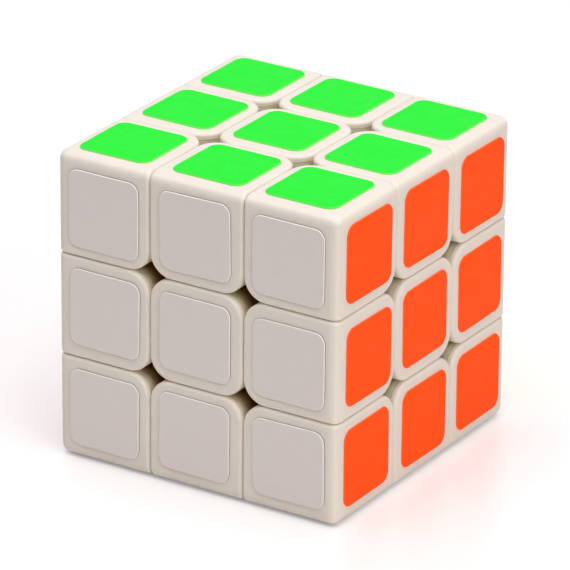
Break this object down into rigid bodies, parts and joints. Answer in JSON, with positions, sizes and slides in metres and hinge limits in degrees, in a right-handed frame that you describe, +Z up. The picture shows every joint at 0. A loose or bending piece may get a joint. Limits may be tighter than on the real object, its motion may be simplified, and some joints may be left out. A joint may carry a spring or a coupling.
{
  "type": "twisty puzzle cube",
  "caption": "Handheld twisty puzzle cube with turning layers, ivory hollow plastic cubies and bright rounded colour stickers on every side.",
  "frame": {"origin": "centre of the bottom side, on the plane of its stickers, where the cube stands", "axes": "+Z up through the top side, -Y out of the front side, +X out of the right side"},
  "size_m": [0.0576, 0.0576, 0.0576],
  "materials": {
    "ivory_plastic": "satin moulded ABS",
    "screw_steel": "zinc-plated",
    "spring_steel": "bright drawn wire",
    "sticker_green": "fluorescent vinyl film",
    "sticker_orange": "fluorescent vinyl film",
    "sticker_grey": "light grey vinyl film",
    "sticker_blue": "vinyl film",
    "sticker_yellow": "vinyl film",
    "sticker_red": "vinyl film"
  },
  "bodies": {
    "core": {"core": "ivory_plastic", "tension_screws": "screw_steel", "tension_springs": "spring_steel", "centre_base_front": "ivory_plastic", "centre_base_back": "ivory_plastic", "centre_base_right": "ivory_plastic", "centre_base_left": "ivory_plastic", "edge_shell_front_right": "ivory_plastic", "edge_shell_right_back": "ivory_plastic", "edge_shell_back_left": "ivory_plastic", "edge_shell_left_front": "ivory_plastic", "edge_feet_middle": "ivory_plastic", "stickers_front_middle": "sticker_grey", "stickers_right_middle": "sticker_orange", "stickers_back_middle": "sticker_yellow", "stickers_left_middle": "sticker_red"},
    "top_layer": {"centre_base_top": "ivory_plastic", "corner_shell_top_front_right": "ivory_plastic", "corner_shell_top_right_back": "ivory_plastic", "corner_shell_top_back_left": "ivory_plastic", "corner_shell_top_left_front": "ivory_plastic", "corner_feet_top": "ivory_plastic", "edge_shell_top_front": "ivory_plastic", "edge_shell_top_right": "ivory_plastic", "edge_shell_top_back": "ivory_plastic", "edge_shell_top_left": "ivory_plastic", "edge_feet_top": "ivory_plastic", "stickers_top": "sticker_green", "stickers_front_upper": "sticker_grey", "stickers_right_upper": "sticker_orange", "stickers_back_upper": "sticker_yellow", "stickers_left_upper": "sticker_red"},
    "bottom_layer": {"centre_base_bottom": "ivory_plastic", "corner_shell_bottom_front_right": "ivory_plastic", "corner_shell_bottom_right_back": "ivory_plastic", "corner_shell_bottom_back_left": "ivory_plastic", "corner_shell_bottom_left_front": "ivory_plastic", "corner_feet_bottom": "ivory_plastic", "edge_shell_bottom_front": "ivory_plastic", "edge_shell_bottom_right": "ivory_plastic", "edge_shell_bottom_back": "ivory_plastic", "edge_shell_bottom_left": "ivory_plastic", "edge_feet_bottom": "ivory_plastic", "stickers_bottom": "sticker_blue", "stickers_front_lower": "sticker_grey", "stickers_right_lower": "sticker_orange", "stickers_back_lower": "sticker_yellow", "stickers_left_lower": "sticker_red"},
    "cap_top": {"centre_cap_top": "ivory_plastic", "centre_sticker_top": "sticker_green"},
    "cap_bottom": {"centre_cap_bottom": "ivory_plastic", "centre_sticker_bottom": "sticker_blue"},
    "cap_front": {"centre_cap_front": "ivory_plastic", "centre_sticker_front": "sticker_grey"},
    "cap_back": {"centre_cap_back": "ivory_plastic", "centre_sticker_back": "sticker_yellow"},
    "cap_right": {"centre_cap_right": "ivory_plastic", "centre_sticker_right": "sticker_orange"},
    "cap_left": {"centre_cap_left": "ivory_plastic", "centre_sticker_left": "sticker_red"}
  },
  "joints": [
    {"name": "top_turn", "type": "hinge", "parent": "core", "child": "top_layer", "pos_m": [0, 0, 0.0288], "axis": [0, 0, 1], "continuous": true},
    {"name": "bottom_turn", "type": "hinge", "parent": "core", "child": "bottom_layer", "pos_m": [0, 0, 0.0288], "axis": [0, 0, -1], "continuous": true},
    {"name": "cap_top_snap", "type": "slide", "parent": "top_layer", "child": "cap_top", "axis": [0, 0, 1], "range_m": [0, 0.008]},
    {"name": "cap_bottom_snap", "type": "slide", "parent": "bottom_layer", "child": "cap_bottom", "axis": [0, 0, -1], "range_m": [0, 0.008]},
    {"name": "cap_front_snap", "type": "slide", "parent": "core", "child": "cap_front", "axis": [0, -1, 0], "range_m": [0, 0.008]},
    {"name": "cap_back_snap", "type": "slide", "parent": "core", "child": "cap_back", "axis": [0, 1, 0], "range_m": [0, 0.008]},
    {"name": "cap_right_snap", "type": "slide", "parent": "core", "child": "cap_right", "axis": [1, 0, 0], "range_m": [0, 0.008]},
    {"name": "cap_left_snap", "type": "slide", "parent": "core", "child": "cap_left", "axis": [-1, 0, 0], "range_m": [0, 0.008]}
  ]
}
